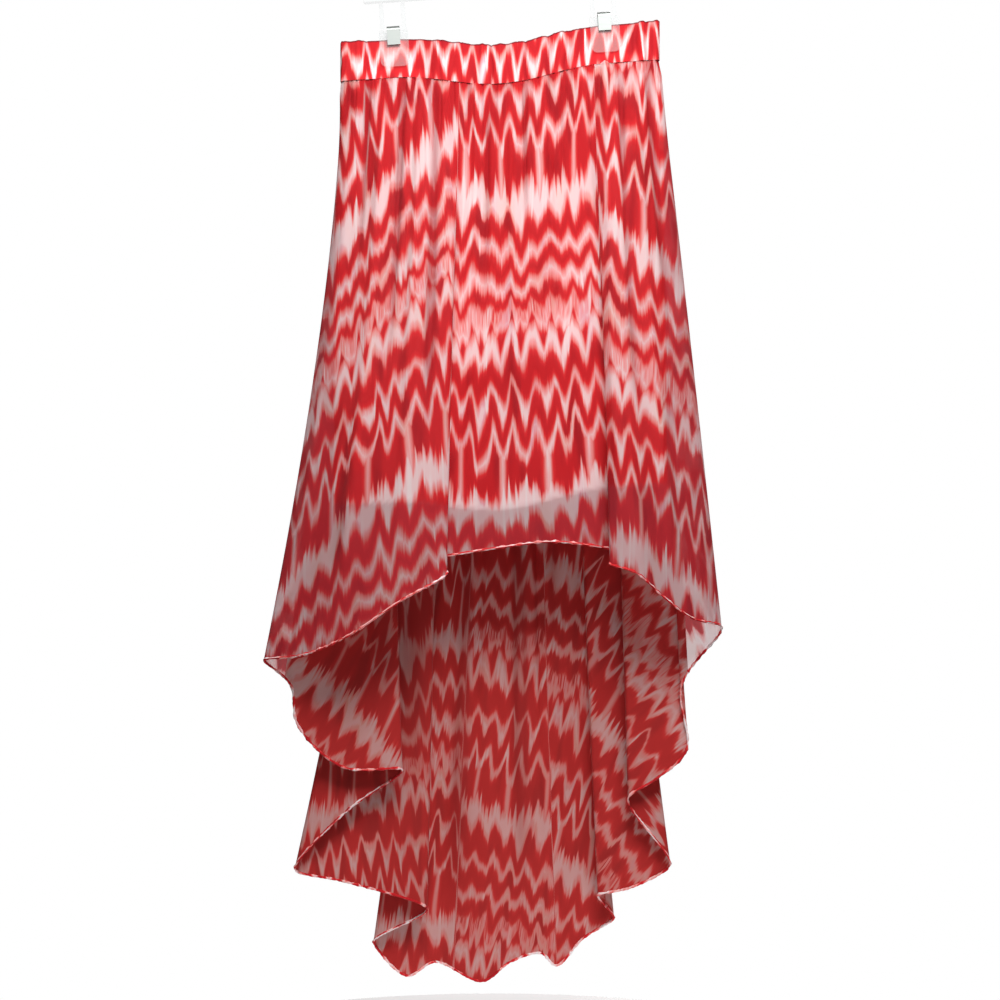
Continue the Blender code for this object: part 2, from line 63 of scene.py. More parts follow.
GATHER_COUNT = 32
GATHER_DRIFT = ((5, 0.94), (13, 0.57))
GATHER_DEPTH = 0.0030
GATHER_AT_SEAM = 0.35
GATHER_GROWS_OVER = 0.020
GATHER_FADE = 0.055
SIDE_SEAMS = (0.262, 0.738)
LEFT_FLARE_EASE = 1.5
RIGHT_FLARE_EASE = 0.95
DEPTH_EASE = 0.75
FOLD_SHARE = 0.003
FOLD_DROP = 0.06
FAR_RIGHT_FROM = 0.65
LINING_INSET = 0.0021
LINING_LENGTH = 0.478
LINING_HALF_WIDTH = 0.186
LINING_FRONT_Y = -0.034
LINING_BACK_Y = 0.004
LINING_ROUNDING = 0.6
LINING_SQUARE_TO = 0.35
SLIP_EDGE = 0.004

HemPlace = namedtuple("HemPlace", "name share across depth height roll")
HEM = (
    HemPlace("front_middle", 0.000, 0.003, -0.046, -0.699, 0.000),
    HemPlace("front_left", 0.040, -0.042, -0.044, -0.706, 0.000),
    HemPlace("left_tuck", 0.055, -0.073, -0.054, -0.713, 0.008),
    HemPlace("left_flute_edge", 0.070, -0.059, -0.078, -0.726, 0.008),
    HemPlace("left_flute_face", 0.120, -0.109, -0.092, -0.757, 0.000),
    HemPlace("left_flute_side", 0.170, -0.164, -0.080, -0.794, 0.000),
    HemPlace("left_near_corner", 0.214, -0.218, -0.048, -0.818, 0.000),
    HemPlace("left_corner", 0.248, -0.264, -0.006, -0.828, 0.014),
    HemPlace("left_return", 0.266, -0.237, 0.008, -0.856, 0.000),
    HemPlace("left_bulge", 0.282, -0.229, 0.012, -0.902, 0.000),
    HemPlace("left_first_face", 0.302, -0.178, 0.016, -0.950, 0.000),
    HemPlace("left_first_edge", 0.325, -0.113, 0.023, -0.955, 0.012),
    HemPlace("left_second_face", 0.343, -0.174, 0.042, -1.002, 0.000),
    HemPlace("left_second_edge", 0.362, -0.235, 0.061, -1.072, 0.012),
    HemPlace("left_third_face", 0.384, -0.182, 0.070, -1.089, 0.000),
    HemPlace("left_third_edge", 0.406, -0.087, 0.079, -1.123, 0.012),
    HemPlace("left_fourth_edge", 0.426, -0.147, 0.109, -1.168, 0.012),
    HemPlace("back_left_wave", 0.446, -0.110, 0.122, -1.210, 0.000),
    HemPlace("back_left_rise", 0.462, -0.077, 0.129, -1.195, 0.000),
    HemPlace("back_low", 0.490, -0.021, 0.120, -1.216, 0.000),
    HemPlace("back_rise", 0.512, 0.012, 0.128, -1.195, 0.000),
    HemPlace("back_right_rise", 0.535, 0.048, 0.121, -1.183, 0.000),
    HemPlace("back_right_wave", 0.556, 0.067, 0.128, -1.199, 0.000),
    HemPlace("back_right_turn", 0.574, 0.098, 0.118, -1.165, 0.000),
    HemPlace("right_fourth_edge", 0.594, 0.133, 0.106, -1.138, 0.010),
    HemPlace("right_third_edge", 0.613, 0.115, 0.082, -1.108, 0.010),
    HemPlace("right_third_face", 0.634, 0.152, 0.074, -1.097, 0.000),
    HemPlace("right_second_edge", 0.655, 0.195, 0.064, -1.067, 0.012),
    HemPlace("right_first_edge", 0.675, 0.148, 0.034, -0.990, 0.012),
    HemPlace("right_first_face", 0.697, 0.178, 0.028, -0.965, 0.000),
    HemPlace("right_bulge", 0.716, 0.212, 0.023, -0.932, 0.000),
    HemPlace("right_return", 0.735, 0.206, 0.012, -0.856, 0.000),
    HemPlace("right_corner", 0.752, 0.248, -0.004, -0.793, 0.014),
    HemPlace("right_near_corner", 0.780, 0.212, -0.050, -0.777, 0.000),
    HemPlace("right_step", 0.803, 0.178, -0.072, -0.752, 0.000),
    HemPlace("right_flute_face", 0.825, 0.148, -0.088, -0.726, 0.000),
    HemPlace("right_flute_edge", 0.847, 0.121, -0.076, -0.716, 0.008),
    HemPlace("right_tuck", 0.862, 0.137, -0.055, -0.705, 0.008),
    HemPlace("front_right", 0.888, 0.100, -0.044, -0.697, 0.000),
    HemPlace("front_right_low", 0.945, 0.055, -0.047, -0.693, 0.000),
)

# How finely the shells are divided
COLUMN_LENGTH = 0.0028
COLUMN_SHARE = 0.0010
FRONT_ROWS = 150
BACK_ROWS = 165
BAND_COLUMNS = 760
LINING_COLUMNS = 240
LINING_ROWS = 60

# The cut: gathered at the waist, flared, and the print's repeat down the cloth
GATHER_RATIO = 1.28
FRONT_FULLNESS = 1.0
BACK_FULLNESS = 1.5
PRINT_REPEAT = 0.344
PRINT_BLOCK = 0.0520
BACK_PRINT_SHIFT = -0.158
BAND_PRINT_FROM = 0.332

# Where cloth is hidden in a fold, the print beyond it is turned, in degrees, and moved, and its
# bands may slope while its threads stay upright
PrintJump = namedtuple("PrintJump", "share turn shift slope", defaults=(0.0,))
FRONT_JUMPS = (PrintJump(1.0625, 0.0, 0.076, 0.54), PrintJump(0.8545, 0.0, -0.046, 0.46))
BACK_JUMPS = (
    PrintJump(0.4730, 4.0, 0.145),
    PrintJump(0.5560, 5.0, -0.030),
    PrintJump(0.6040, 22.0, 0.020),
    PrintJump(0.3660, -30.0, 0.151),
    PrintJump(0.3255, -36.0, -0.128),
)

HEM_RADIUS = 0.0014
HEM_FLATNESS = 0.75
HEM_SIDES = 8
# Crease depth at which the painted crease shade is full
CREASE_SHADE_DEPTH = 0.0026
TROUGH_AT_SEAM = 0.0008
TROUGH_GROWS = 0.05

# Camera: far enough to match the photo's flat view, framing 1.1 m of height
CAMERA_DISTANCE = 2.40
FRONT_Y = -0.06
VIEW_HEIGHT = 1.100
VIEW_CENTRE = (0.009, -0.647)
SENSOR = 36.0
FLOOR_Z = -1.33
FLOOR_RADIUS = 0.56

STUDIO_LEAN = (0.0, -0.7, 0.7)
STUDIO_DARK = 0.03
STUDIO_BRIGHT = 0.20
KEY_POWER = 15.5
KEY_SPREAD = math.radians(105.0)
FILL_POWER = 90.0


def ease(value):
    """A soft step from 0 to 1."""
    value = np.clip(value, 0.0, 1.0)
    return value * value * (3.0 - 2.0 * value)


# The cloth's own surface, as the solids have it

def flat_ring(share):
    """Across, depth and the outward direction on the waist's long flat loop."""
    straight = BAND_HALF_WIDTH - BAND_END_RADIUS
    turn = math.pi * BAND_END_RADIUS
    whole = 4.0 * straight + 2.0 * turn
    way = np.mod(share, 1.0) * whole
    mirror = way > 0.5 * whole
    way = np.where(mirror, whole - way, way)
    angle = np.clip((way - straight) / BAND_END_RADIUS, 0.0, math.pi)
    across = np.where(way < straight, -way, -straight - BAND_END_RADIUS * np.sin(angle))
    across = np.where(way > straight + turn, -straight + (way - straight - turn), across)
    depth = -BAND_END_RADIUS * np.cos(angle)
    out_x = -np.sin(angle)
    out_y = -np.cos(angle)
    sign = np.where(mirror, -1.0, 1.0)
    return across * sign, depth, out_x * sign, out_y


def half_depth(across, level):
    away = np.abs(np.abs(across) - CLIP_FROM_CENTRE)
    pinch = 1.0 - ease((away - PINCH_FLAT) / PINCH_REACH)
    pinch = pinch * (1.0 - PINCH_RELEASE * ease((level - PINCH_RELEASE_FROM) / (1.0 - PINCH_RELEASE_FROM)))
    middle = ease(1.0 - np.abs(across) / CLIP_FROM_CENTRE)
    free = BAND_END_RADIUS + (MIDDLE_HALF_DEPTH - BAND_END_RADIUS) * middle
    return free + (PINCHED_HALF_DEPTH - free) * pinch


def waist_point(share, level):
    across, depth, out_x, out_y = flat_ring(share)
    return across, depth * half_depth(across, level) / BAND_END_RADIUS, out_x, out_y


def band_top(across):
    inside = np.abs(across) < CLIP_FROM_CENTRE
    sag = np.where(inside, 0.5 + 0.5 * np.cos(math.pi * across / CLIP_FROM_CENTRE), 0.0)
    return BAND_TOP_Z + math.tan(HANGER_TILT) * across - BAND_SAG * sag


def gather_wave(share):
    angle = 2.0 * math.pi * share
    drift = sum(size * np.sin(waves * angle) for waves, size in GATHER_DRIFT)
    return 0.5 + 0.5 * np.cos(GATHER_COUNT * angle + drift)


def free_of_clips(across):
    away = np.abs(np.abs(across) - CLIP_FROM_CENTRE)
    return ease((away - PINCH_FLAT) / (0.5 * JAW_WIDTH))


def hem_rows():
    """The hem's places as (across, depth, height, share), each fold's edge made round by two."""
    rows = []
    for index, here in enumerate(HEM):
        before, after = HEM[index - 1], HEM[(index + 1) % len(HEM)]
        if here.roll == 0.0:
            rows.append((here.across, here.depth, here.height, here.share))
            continue
        turn = math.copysign(0.5 * here.roll, after.depth - before.depth)
        drop = FOLD_DROP * (after.height - before.height)
        for side in (-1, 1):
            rows.append((
                here.across,
                here.depth + side * turn,
                here.height + side * drop,
                here.share + side * FOLD_SHARE,
            ))
    return np.array(rows)


HEM_ROWS = hem_rows()


def hem_curve(places):
    """The hem's points at places counted in rows, on one smooth closed curve."""
    count = len(HEM_ROWS)
    row = np.floor(places).astype(int)
    part = (places - row)[:, None]
    a, b, c, d = (HEM_ROWS[(row + step) % count, :3] for step in (-1, 0, 1, 2))
    left = np.sqrt(np.linalg.norm(b - a, axis=1))[:, None]
    middle = np.sqrt(np.linalg.norm(c - b, axis=1))[:, None]
    right = np.sqrt(np.linalg.norm(d - c, axis=1))[:, None]
    start = ((b - a) / left - (c - a) / (left + middle) + (c - b) / middle) * middle
    end = ((c - b) / middle - (d - b) / (middle + right) + (d - c) / right) * middle
    return (
        b * (2 * part**3 - 3 * part**2 + 1) + start * (part**3 - 2 * part**2 + part)
        + c * (-2 * part**3 + 3 * part**2) + end * (part**3 - part**2)
    )


def waist_share(places):
    shares = np.append(HEM_ROWS[:, 3], 1.0)
    row = np.floor(places).astype(int)
    around = row // len(HEM_ROWS)
    row = row % len(HEM_ROWS)
    return around + shares[row] + (shares[row + 1] - shares[row]) * (places - np.floor(places))


def place_of_share(share):
    shares = np.append(HEM_ROWS[:, 3], 1.0)
    row = int(np.searchsorted(shares, share, side="right")) - 1
    return row + (share - shares[row]) / (shares[row + 1] - shares[row])


def fine_places(first, last):
    """Places along the hem from first to last, evenly close along the cloth."""
    rough = np.linspace(first, last, 6000)
    hem = hem_curve(np.mod(rough, len(HEM_ROWS)))
    length = np.linalg.norm(np.diff(hem, axis=0), axis=1) / COLUMN_LENGTH
    width = np.diff(waist_share(rough)) / COLUMN_SHARE
    way = np.concatenate([[0.0], np.cumsum(np.maximum(length, width))])
    count = int(math.ceil(way[-1]))
    return np.interp(np.linspace(0.0, way[-1], count + 1), way, rough)


# Creases, listed: where they start round the waist and end down the cloth, how wide they
# are and how deep. A negative depth is a trough.
Crease = namedtuple("Crease", "share start end width depth lean")
CREASES = (
    Crease(0.018, 0.02, 0.55, 0.0035, -0.0020, 0.002),
    Crease(0.985, 0.02, 0.80, 0.0045, 0.0026, -0.003),
    Crease(0.962, 0.00, 0.42, 0.0032, -0.0022, 0.002),
    Crease(0.036, 0.00, 0.92, 0.0050, 0.0024, 0.002),
    Crease(0.925, 0.03, 0.70, 0.0045, 0.0022, 0.000),
    Crease(0.905, 0.00, 0.30, 0.0028, -0.0020, 0.000),
    Crease(0.098, 0.00, 0.75, 0.0060, -0.0034, 0.004),
    Crease(0.122, 0.00, 0.95, 0.0070, 0.0040, 0.004),
    Crease(0.150, 0.00, 0.60, 0.0048, -0.0032, 0.003),
    Crease(0.178, 0.05, 0.98, 0.0080, 0.0042, 0.006),
    Crease(0.203, 0.00, 0.45, 0.0045, -0.0028, 0.002),
    Crease(0.226, 0.10, 0.96, 0.0080, 0.0036, 0.003),
    Crease(0.838, 0.00, 0.98, 0.0055, 0.0034, -0.004),
    Crease(0.815, 0.00, 0.72, 0.0045, -0.0032, -0.002),
    Crease(0.796, 0.06, 0.98, 0.0060, 0.0036, -0.004),
    Crease(0.776, 0.00, 0.55, 0.0040, -0.0026, 0.000),
    Crease(0.290, 0.00, 0.80, 0.0055, 0.0030, 0.003),
    Crease(0.312, 0.05, 0.95, 0.0050, -0.0030, 0.003),
    Crease(0.350, 0.30, 0.98, 0.0050, 0.0028, 0.000),
    Crease(0.378, 0.00, 0.60, 0.0045, 0.0028, -0.002),
    Crease(0.396, 0.40, 0.99, 0.0060, -0.0034, 0.000),
    Crease(0.436, 0.10, 0.90, 0.0050, 0.0032, 0.003),
    Crease(0.470, 0.00, 0.98, 0.0060, -0.0034, 0.002),
    Crease(0.482, 0.20, 0.75, 0.0040, 0.0030, -0.002),
    Crease(0.505, 0.00, 0.55, 0.0045, 0.0030, 0.002),
    Crease(0.524, 0.10, 0.99, 0.0060, -0.0036, -0.002),
    Crease(0.546, 0.00, 0.85, 0.0050, 0.0032, 0.002),
    Crease(0.566, 0.05, 0.70, 0.0045, -0.0028, 0.000),
    Crease(0.604, 0.30, 0.98, 0.0040, 0.0022, 0.000),
    Crease(0.645, 0.20, 0.95, 0.0050, -0.0028, 0.000),
    Crease(0.666, 0.00, 0.60, 0.0045, 0.0026, 0.000),
    Crease(0.705, 0.10, 0.95, 0.0055, 0.0030, -0.002),
)
FINE_GATHERS = 118


def fine_gathers():
    """Short creases below the waist seam, uneven in length, width and depth."""
    dice = np.random.RandomState(11)
    share = (np.arange(FINE_GATHERS) + dice.uniform(-0.38, 0.38, FINE_GATHERS)) / FINE_GATHERS
    length = 0.018 + 0.085 * dice.uniform(0.0, 1.0, FINE_GATHERS) ** 2.2
    width = dice.uniform(0.0009, 0.0022, FINE_GATHERS)
    depth = dice.uniform(0.0005, 0.0015, FINE_GATHERS) * np.where(dice.uniform(size=FINE_GATHERS) < 0.6, -1.0, 1.0)
    return share, length, width, depth


def around(gap):
    """The shorter way round the waist between two shares."""
    return np.mod(gap + 0.5, 1.0) - 0.5


def crease_height(share, fall, below):
    """How far the creases push the cloth out at each point."""
    height = np.zeros_like(below)
    for crease in CREASES:
        centre = crease.share + crease.lean * fall
        across = around(share - centre) / crease.width
        begin = ease((fall - crease.start) / 0.10) if crease.start > 0.0 else 1.0
        fade = begin * (1.0 - ease((fall - crease.end + 0.25) / 0.25))
        swing = 1.0 + 0.35 * np.sin(9.0 * fall + 40.0 * crease.share)
        height = height + crease.depth * fade * swing * np.exp(-across * across)
    for share_at, length, width, depth in zip(*fine_gathers()):
        across = around(share - share_at) / width
        near = np.abs(across) < 3.0
        if not near.any():
            continue
        fade = np.exp(-((below[:, near] / length) ** 2))
        height[:, near] += depth * fade * np.exp(-across[near] ** 2)
    return height


def skirt_grid(places, rows):
    """Points of the skirt and their place on the flat cloth, as rows from seam to hem."""
    share = waist_share(places)
    across, depth, out_x, out_y = waist_point(share, 1.0)
    seam = band_top(across) - BAND_HEIGHT - SEAM_GAP
    hem = hem_curve(np.mod(places, len(HEM_ROWS)))
    far_right = ease((across / BAND_HALF_WIDTH - FAR_RIGHT_FROM) / (1.0 - FAR_RIGHT_FROM))
    flare_ease = LEFT_FLARE_EASE + (RIGHT_FLARE_EASE - LEFT_FLARE_EASE) * far_right
    fall = (np.linspace(0.0, 1.0, rows + 1) ** 1.15)[:, None]
    below = fall * (seam - hem[:, 2])
    swell = GATHER_DEPTH * gather_wave(share) * np.exp(-((below / GATHER_FADE) ** 2))
    swell = swell * (GATHER_AT_SEAM + (1.0 - GATHER_AT_SEAM) * ease(below / GATHER_GROWS_OVER))
    points = np.stack([
        across + (hem[:, 0] - across) * fall ** flare_ease + out_x * swell + GARMENT_CENTRE_X,
        depth + (hem[:, 1] - depth) * fall ** DEPTH_EASE + out_y * swell,
        seam + (hem[:, 2] - seam) * fall,
    ], axis=2)
    return points, share, fall, below


def grid_normals(points, closed=False):
    """The outward direction at each point of a grid."""
    if closed:
        along = np.roll(points, -1, axis=1) - np.roll(points, 1, axis=1)
    else:
        along = np.gradient(points, axis=1)
    down = np.gradient(points, axis=0)
    normal = np.cross(along, down)
    return normal / np.maximum(np.linalg.norm(normal, axis=2, keepdims=True), 1e-12)


def unrolled(points, share, fullness=1.0, jumps=()):
    """The cut of a flared panel: each column laid beside the last, at the angle that the flare gives.
    More fullness fans the print out more than the flare alone, and jumps turn and move it."""
    columns = points.shape[1]
    steps = np.linalg.norm(np.diff(points, axis=0), axis=2)
    along = np.concatenate([np.zeros((1, columns)), np.cumsum(steps, axis=0)])
    top = np.linalg.norm(np.diff(points[0, :, :2], axis=0), axis=1) * GATHER_RATIO
    bottom = np.linalg.norm(np.diff(points[-1, :, :2], axis=0), axis=1)
    length = 0.5 * (along[-1, 1:] + along[-1, :-1])
    turn = np.clip((bottom - top) / length, -0.001, 0.02) * fullness
    half = int(np.argmin(np.abs(np.cumsum(bottom) - 0.5 * bottom.sum())))
    angle = np.concatenate([[0.0], np.cumsum(turn)])
    shift = np.zeros(columns)
    middle = share[half]
    for jump in jumps:
        beyond = share > jump.share if around(jump.share - middle) > 0.0 else share < jump.share
        sign = 1.0 if around(jump.share - middle) > 0.0 else -1.0
        angle = angle + np.where(beyond, sign * math.radians(jump.turn), 0.0)
        shift = shift + np.where(beyond, jump.shift, 0.0)
    angle = angle - angle[half]
    between = 0.5 * (angle[1:] + angle[:-1])
    start_x = np.concatenate([[0.0], np.cumsum(top * np.cos(between))])
    start_y = np.concatenate([[0.0], np.cumsum(-top * np.sin(between))])
    start_x = start_x - start_x[half]
    start_y = start_y - start_y[half] + shift
    cloth_x = start_x + along * np.sin(angle)
    cloth_y = start_y + along * np.cos(angle)
    for jump in jumps:
        column = int(np.argmin(np.abs(share - jump.share)))
        beyond = (share > jump.share) == (column > half)
        cloth_y = cloth_y - np.where(beyond, jump.slope * np.abs(cloth_x - start_x[column]), 0.0)
    return cloth_x, cloth_y


def add_mesh(name, points, cloth_x, cloth_y, material, closed=False, **marks):
    """A smooth sheet from a grid of points, with its place on the flat cloth as a UV map. Each mark
    is a value from 0 to 1 at every point, which the material reads by its name."""
    rows, columns = points.shape[:2]
    index = np.arange(rows * columns).reshape(rows, columns)
    if closed:
        right = np.roll(index, -1, axis=1)
    else:
        index, right = index[:, :-1], index[:, 1:]
    faces = np.stack([index[:-1], right[:-1], right[1:], index[1:]], axis=-1).reshape(-1, 4)
    mesh = bpy.data.meshes.new(name)
    mesh.from_pydata(points.reshape(-1, 3).tolist(), [], faces.tolist())
    layer = mesh.uv_layers.new(name="cloth")
    flat = np.stack([cloth_x, cloth_y], axis=-1).reshape(-1, 2)
    corners = flat[faces]
    if closed:
        seam = corners[:, 1, 0] < corners[:, 0, 0] - 0.1
        corners[seam, 1, 0] += corners[:, :, 0].max()
        corners[seam, 2, 0] += corners[:, :, 0].max()
    layer.data.foreach_set("uv", corners.reshape(-1))
    for mark, values in marks.items():
        mesh.attributes.new(mark, "FLOAT", "POINT").data.foreach_set("value", values.reshape(-1))
    mesh.materials.append(material)
    mesh.shade_smooth()
    piece = bpy.data.objects.new(name, mesh)
    bpy.context.scene.collection.objects.link(piece)
    return piece


# Materials

class Graph:
    """Short ways to add nodes to a material."""

    def __init__(self, name):
        self.material = bpy.data.materials.new(name)
        self.material.use_nodes = True
        self.tree = self.material.node_tree
        self.shader = self.tree.nodes["Principled BSDF"]

    def link(self, source, target):
        self.tree.links.new(source, target)

    def put(self, value, target):
        if isinstance(value, (int, float)):
            target.default_value = value
        else:
            self.link(value, target)

    def math(self, operation, first, second=0.0, third=0.0):
        node = self.tree.nodes.new("ShaderNodeMath")
        node.operation = operation
        for value, target in zip((first, second, third), node.inputs):
            self.put(value, target)
        return node.outputs[0]

    def smooth(self, value, low, high):
        """0 below low, 1 above high, and soft between."""
        node = self.tree.nodes.new("ShaderNodeMapRange")
        node.interpolation_type = "SMOOTHSTEP"
        self.put(value, node.inputs["Value"])
        self.put(low, node.inputs["From Min"])
        self.put(high, node.inputs["From Max"])
        return node.outputs["Result"]

    def noise(self, vector, scale, detail=2.0, roughness=0.5):
        node = self.tree.nodes.new("ShaderNodeTexNoise")
        node.inputs["Scale"].default_value = scale
        node.inputs["Detail"].default_value = detail
        node.inputs["Roughness"].default_value = roughness
        self.link(vector, node.inputs["Vector"])
        return node.outputs["Fac"]

    def combine(self, x, y, z=0.0):
        node = self.tree.nodes.new("ShaderNodeCombineXYZ")
        for value, target in zip((x, y, z), node.inputs):
            self.put(value, target)
        return node.outputs[0]

    def mix(self, factor, first, second):
        node = self.tree.nodes.new("ShaderNodeMix")
        node.data_type = "RGBA"
        self.put(factor, node.inputs["Factor"])
        for value, target in ((first, node.inputs[6]), (second, node.inputs[7])):
            if isinstance(value, tuple):
                target.default_value = (*value, 1.0)
            else:
                self.link(value, target)
        return node.outputs[2]

    def bump(self, height, strength, distance):
        node = self.tree.nodes.new("ShaderNodeBump")
        node.inputs["Strength"].default_value = strength
        node.inputs["Distance"].default_value = distance
        self.link(height, node.inputs["Height"])
        self.link(node.outputs["Normal"], self.shader.inputs["Normal"])

    def between(self, factor, low, high):
        """low where factor is 0 and high where it is 1."""
        return self.math("MULTIPLY_ADD", factor, high - low, low)

    def ramp(self, value, stops):
        """The colour at each value of a row of (value, colour) stops."""
        low, high = stops[0][0], stops[-1][0]
        node = self.tree.nodes.new("ShaderNodeValToRGB")
        elements = node.color_ramp.elements
        while len(elements) < len(stops):
            elements.new(0.5)
        for element, (place, colour) in zip(elements, stops):
            element.position = (place - low) / (high - low)
            element.color = (*colour, 1.0)
        self.link(self.math("DIVIDE", self.math("SUBTRACT", value, low), high - low), node.inputs["Fac"])
        return node.outputs["Color"]

    def attribute(self, name):
        node = self.tree.nodes.new("ShaderNodeAttribute")
        node.attribute_name = name
        return node.outputs["Fac"]

    def let_light_through(self, colour, share):
        """Thin cloth glows with the light behind it."""
        glow = self.tree.nodes.new("ShaderNodeBsdfTranslucent")
        self.link(colour, glow.inputs["Color"])
        both = self.tree.nodes.new("ShaderNodeMixShader")
        both.inputs["Fac"].default_value = share
        self.link(self.shader.outputs[0], both.inputs[1])
        self.link(glow.outputs[0], both.inputs[2])
        self.link(both.outputs[0], self.tree.nodes["Material Output"].inputs["Surface"])

    def cloth(self):
        """Across and down on the flat cloth, in metres."""
        node = self.tree.nodes.new("ShaderNodeUVMap")
        node.uv_map = "cloth"
        split = self.tree.nodes.new("ShaderNodeSeparateXYZ")
        self.link(node.outputs["UV"], split.inputs[0])
        return split.outputs[0], split.outputs[1]

    def set(self, **values):
        for name, value in values.items():
            target = self.shader.inputs[name.replace("_", " ")]
            target.default_value = (*value, 1.0) if isinstance(value, tuple) and len(value) == 3 else value


# The print's zigzags, down one repeat from the tall one's top, in metres. A zigzag's upper edge runs
# from its top, at a peak, down to its inner valley, and its lower edge from its inner peak to its
# bottom. A broken one is cut through between its peaks and its valleys.
Zigzag = namedtuple("Zigzag", "name top valley_in peak_in bottom sharp cut")
ZIGZAGS = (
    Zigzag("tall", 0.000, 0.038, 0.025, 0.057, 1.30, 0.0),
    Zigzag("first", 0.137, 0.157, 0.160, 0.176, 1.25, 0.0),
    Zigzag("second", 0.185, 0.199, 0.201, 0.215, 1.25, 0.0),
    Zigzag("thin", 0.229, 0.240, 0.237, 0.249, 1.80, 0.0),
    Zigzag("broken", 0.262, 0.278, 0.271, 0.297, 1.05, 0.011),
    Zigzag("thick", 0.302, 0.320, 0.327, 0.345, 1.30, 0.0),
)
BLOCK_HORN = 0.048
BLOCK_NOTCH = 0.077
BLOCK_BOTTOM = 0.104
BLOCK_SIDE = 0.0050
BLOCK_SIDE_SHARP = 2.0
BLOCK_DRIP = 0.075
DASHES_FROM = 0.241
DASHES_TO = 0.259
DASH_SHARE = 0.22
TALL_ZIGZAG_BELOW_SEAM = 0.010
ROUND_TEETH = 0.7

# Colours of the print by how far inside a dyed shape a place is, in metres
DYE = (
    (-0.0115, (1.000, 0.640, 0.650)),
    (-0.0072, (0.985, 0.440, 0.435)),
    (-0.0038, (0.950, 0.270, 0.255)),
    (-0.0014, (0.880, 0.130, 0.120)),
    (0.0004, (0.790, 0.045, 0.046)),
    (0.0020, (0.740, 0.022, 0.028)),
    (0.0075, (0.620, 0.014, 0.020)),
)
WHITE = (1.00, 0.92, 0.92)
WHITE_CORE = (0.0085, 0.0150)
PEACH = (0.88, 0.47, 0.36)
MAUVE = (0.78, 0.42, 0.56)
# The print's deep dye; the painted shade in creases and gathers darkens towards it too
DEEP_RED = (0.36, 0.007, 0.014)
# Painted shade along the band's top fold, where its far side lies in shadow
FOLD_SHADE_RED = (0.10, 0.006, 0.012)
# Painted shade where no slip lies behind the front: its colour and its share
NO_SLIP_SHADE_RED = (0.34, 0.05, 0.07)
NO_SLIP_SHADE = 0.30
# Painted shade on the back: its colour pulled towards these browns by the next share, and its dyed shapes widened by
# the width after it, to darken it
SHADE_BROWN = (0.30, 0.035, 0.025)
SHADE_PEACH = (0.74, 0.22, 0.17)
BACK_PAINTED_SHADE = 0.46
BACK_DYE_GROW = 0.0026
FRONT_SHEER = (0.72, 0.95)
BACK_SHEER = (0.985, 1.0)
FRONT_LET_THROUGH = 0.30
BACK_LET_THROUGH = 0.04


def zigzag_depth(graph, place, tooth, zigzag):
    """How far inside a zigzag's dye a place is. tooth is 0 under a peak and 1 at a valley."""
    middle = 0.5 * (zigzag.top + zigzag.bottom)
    place = graph.math("WRAP", place, middle + 0.5 * PRINT_REPEAT, middle - 0.5 * PRINT_REPEAT)
    dip = graph.math("POWER", tooth, zigzag.sharp)
    upper = graph.math("MULTIPLY_ADD", dip, zigzag.valley_in - zigzag.top, zigzag.top)
    rise = graph.math("POWER", graph.math("SUBTRACT", 1.0, tooth), zigzag.sharp)
    lower = graph.math("MULTIPLY_ADD", rise, zigzag.peak_in - zigzag.bottom, zigzag.bottom)
    depth = graph.math("MINIMUM", graph.math("SUBTRACT", place, upper), graph.math("SUBTRACT", lower, place))
    if zigzag.cut > 0.0:
        leg = graph.math("MULTIPLY", tooth, graph.math("SUBTRACT", 1.0, tooth))
        depth = graph.math("MULTIPLY_ADD", leg, -4.0 * zigzag.cut, depth)
    return depth


def block_depth(graph, place, across, tooth, streak):
    """How far inside a horned block a place is. Its foot drips along the warp."""
    middle = 0.5 * (BLOCK_HORN + BLOCK_BOTTOM)
    place = graph.math("WRAP", place, middle + 0.5 * PRINT_REPEAT, middle - 0.5 * PRINT_REPEAT)
    horn = graph.math("POWER", graph.math("SUBTRACT", 1.0, tooth), 1.7)
    top = graph.math("MULTIPLY_ADD", horn, BLOCK_HORN - BLOCK_NOTCH, BLOCK_NOTCH)
    foot = graph.math("MULTIPLY_ADD", streak, BLOCK_DRIP, BLOCK_BOTTOM)
    block = graph.math("FRACT", graph.math("DIVIDE", across, PRINT_BLOCK))
    edge = graph.math("MINIMUM", block, graph.math("SUBTRACT", 1.0, block))
    side = graph.math("MULTIPLY_ADD", edge, PRINT_BLOCK * BLOCK_SIDE_SHARP, -BLOCK_SIDE * BLOCK_SIDE_SHARP)
    depth = graph.math("MINIMUM", graph.math("SUBTRACT", place, top), graph.math("SUBTRACT", foot, place))
    return graph.math("MINIMUM", depth, side)


